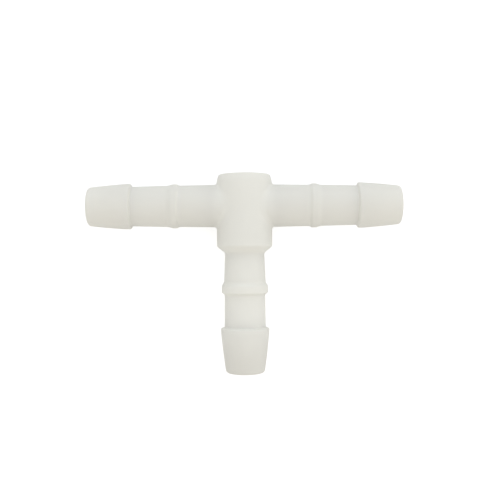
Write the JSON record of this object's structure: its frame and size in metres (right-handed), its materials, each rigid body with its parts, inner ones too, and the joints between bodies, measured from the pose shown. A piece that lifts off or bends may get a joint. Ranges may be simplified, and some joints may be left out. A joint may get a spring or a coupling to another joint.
{
  "type": "barbed tee connector",
  "caption": "Moulded barbed tee that joins flexible hoses: two in-line hose tails and a branch tail at right angles, each with a low ring and an end barb, around a round hub.",
  "frame": {"origin": "where the axes of the three bores meet, inside the hub", "axes": "+X along the run, towards the right tail; -Y along the branch, towards its open end; +Z normal to the tee's plane, up as it lies flat"},
  "size_m": [0.0474, 0.0301, 0.0084],
  "materials": {
    "natural_plastic": "undyed milky plastic, satin as moulded"
  },
  "bodies": {
    "root": {"hub": "natural_plastic", "left_stem": "natural_plastic", "left_ring": "natural_plastic", "left_barb": "natural_plastic", "right_stem": "natural_plastic", "right_ring": "natural_plastic", "right_barb": "natural_plastic", "branch_stem": "natural_plastic", "branch_ring": "natural_plastic", "branch_barb": "natural_plastic"}
  },
  "joints": []
}
